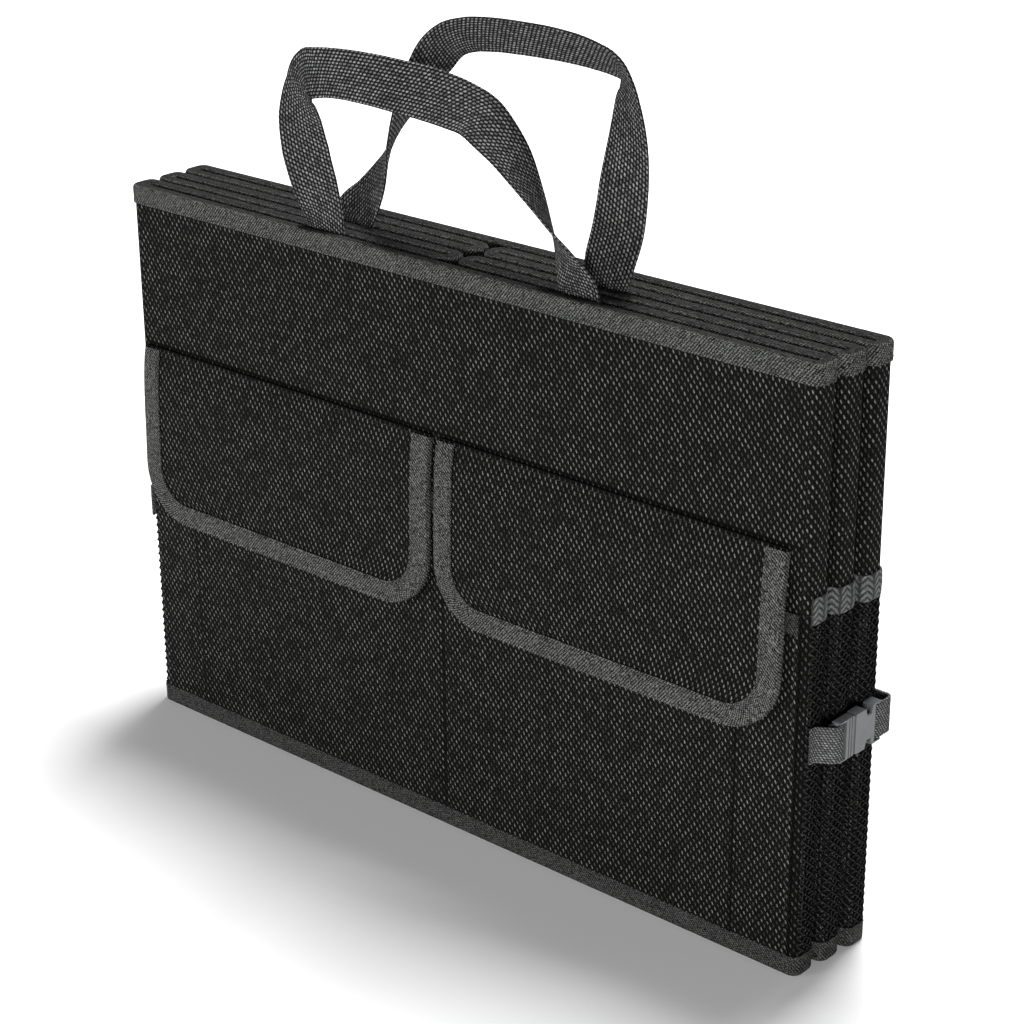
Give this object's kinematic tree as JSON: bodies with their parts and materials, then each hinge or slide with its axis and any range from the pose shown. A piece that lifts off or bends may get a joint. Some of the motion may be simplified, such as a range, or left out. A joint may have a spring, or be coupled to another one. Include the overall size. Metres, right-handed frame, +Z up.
{
  "type": "car trunk organizer",
  "caption": "Fabric trunk organizer folded flat like an accordion, with stiffened walls, flap pockets, mesh side pockets, carrying handles and side buckles.",
  "frame": {"origin": "middle of the footprint of the whole object, on the surface that it stands on", "axes": "+X along the front panel towards its right end as seen from the front, +Y from the front panel to the back panel, +Z up"},
  "size_m": [0.461, 0.0664, 0.4119],
  "materials": {
    "wall_cloth": "coarse woven polyester, near black",
    "board": "smooth stiffener board",
    "lining_cloth": "thin woven lining",
    "binding_tape": "fine ribbed tape, matte dark grey",
    "closure_tape": "hook and loop pile",
    "net": "open knitted net, black",
    "elastic": "knitted elastic, dark grey",
    "strap_webbing": "flat woven webbing, mid grey",
    "handle_webbing": "basket woven webbing, dark grey",
    "buckle_plastic": "moulded acetal, smooth grey"
  },
  "bodies": {
    "organizer": {"front_panel": "wall_cloth", "back_panel": "wall_cloth", "left_side_wall": "wall_cloth", "right_side_wall": "wall_cloth", "front_board": "board", "back_board": "board", "left_wall_board_1": "board", "left_wall_board_2": "board", "left_wall_board_3": "board", "left_wall_board_4": "board", "right_wall_board_1": "board", "right_wall_board_2": "board", "right_wall_board_3": "board", "right_wall_board_4": "board", "divider_panel": "lining_cloth", "base_cloth_front": "lining_cloth", "base_cloth_rear": "lining_cloth", "base_board_front": "board", "base_board_rear": "board", "top_binding": "binding_tape", "bottom_binding": "binding_tape", "front_pocket_panel": "wall_cloth", "pocket_mouth_binding": "binding_tape", "left_pocket_loop_tape": "closure_tape", "right_pocket_loop_tape": "closure_tape", "left_mesh_pocket": "net", "right_mesh_pocket": "net", "left_elastic_band": "elastic", "right_elastic_band": "elastic", "left_strap_front": "strap_webbing", "right_strap_front": "strap_webbing", "left_strap_rear": "strap_webbing", "right_strap_rear": "strap_webbing", "left_buckle_female": "buckle_plastic", "right_buckle_female": "buckle_plastic", "front_handle": "handle_webbing", "rear_handle": "handle_webbing"},
    "left_flap_body": {"left_flap": "wall_cloth", "left_flap_binding": "binding_tape", "left_flap_hook_tape": "closure_tape"},
    "right_flap_body": {"right_flap": "wall_cloth", "right_flap_binding": "binding_tape", "right_flap_hook_tape": "closure_tape"},
    "left_buckle_male_body": {"left_buckle_male": "buckle_plastic"},
    "right_buckle_male_body": {"right_buckle_male": "buckle_plastic"}
  },
  "joints": [
    {"name": "left_flap_hinge", "type": "hinge", "parent": "organizer", "child": "left_flap_body", "pos_m": [-0.1096, -0.0247, 0.217], "axis": [-1, 0, 0], "range_deg": [0, 150]},
    {"name": "right_flap_hinge", "type": "hinge", "parent": "organizer", "child": "right_flap_body", "pos_m": [0.1056, -0.0247, 0.217], "axis": [-1, 0, 0], "range_deg": [0, 150]},
    {"name": "left_buckle_release", "type": "slide", "parent": "organizer", "child": "left_buckle_male_body", "axis": [0, -1, 0], "range_m": [0, 0.014], "deforming": ["left_strap_front"]},
    {"name": "right_buckle_release", "type": "slide", "parent": "organizer", "child": "right_buckle_male_body", "axis": [0, -1, 0], "range_m": [0, 0.014], "deforming": ["right_strap_front"]}
  ]
}
